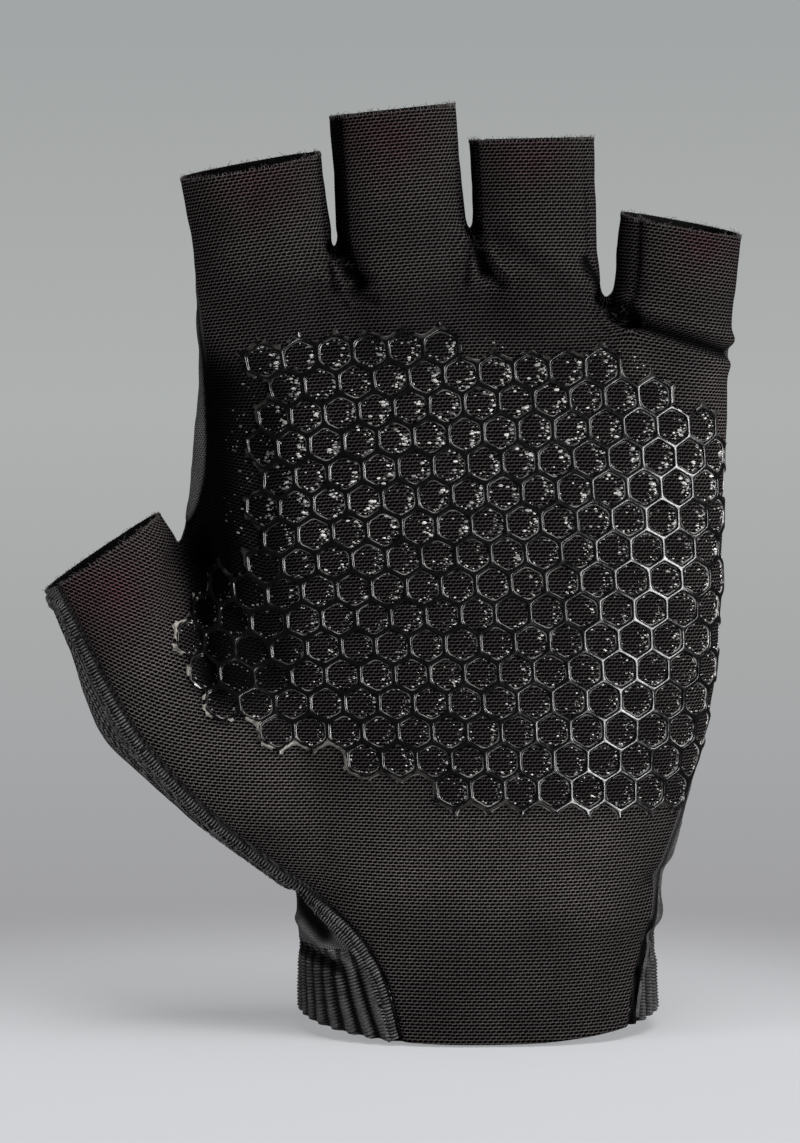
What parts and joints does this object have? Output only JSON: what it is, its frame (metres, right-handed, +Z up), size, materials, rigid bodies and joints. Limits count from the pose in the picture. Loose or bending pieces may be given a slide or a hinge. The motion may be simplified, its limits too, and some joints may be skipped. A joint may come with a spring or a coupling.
{
  "type": "half-finger cycling glove",
  "caption": "Left-hand half-finger cycling glove in worn form: mesh-knit palm with a raised honeycomb grip print, knit back, finger gussets and a ribbed wristband.",
  "frame": {"origin": "middle of the wrist opening, level with the hem at the glove's sides", "axes": "+Z up the fingers, -Y out of the palm, -X towards the thumb"},
  "size_m": [0.1244, 0.0428, 0.1655],
  "materials": {
    "mesh_knit": "black micro-mesh knit, matt, with rows of small holes",
    "fine_knit": "black fine twill-like knit with a faint sheen",
    "rib_knit": "black rib knit",
    "silicone": "glossy black silicone print",
    "overlock_thread": "dark grey overlock stitching"
  },
  "bodies": {
    "root": {"palm_panel": "mesh_knit", "back_panel": "fine_knit", "ribbed_cuff": "rib_knit", "index_middle_gusset": "mesh_knit", "middle_ring_gusset": "mesh_knit", "ring_little_gusset": "mesh_knit", "grip_print": "silicone", "thumb_seam_welt": "overlock_thread", "little_seam_welt": "overlock_thread"}
  },
  "joints": []
}
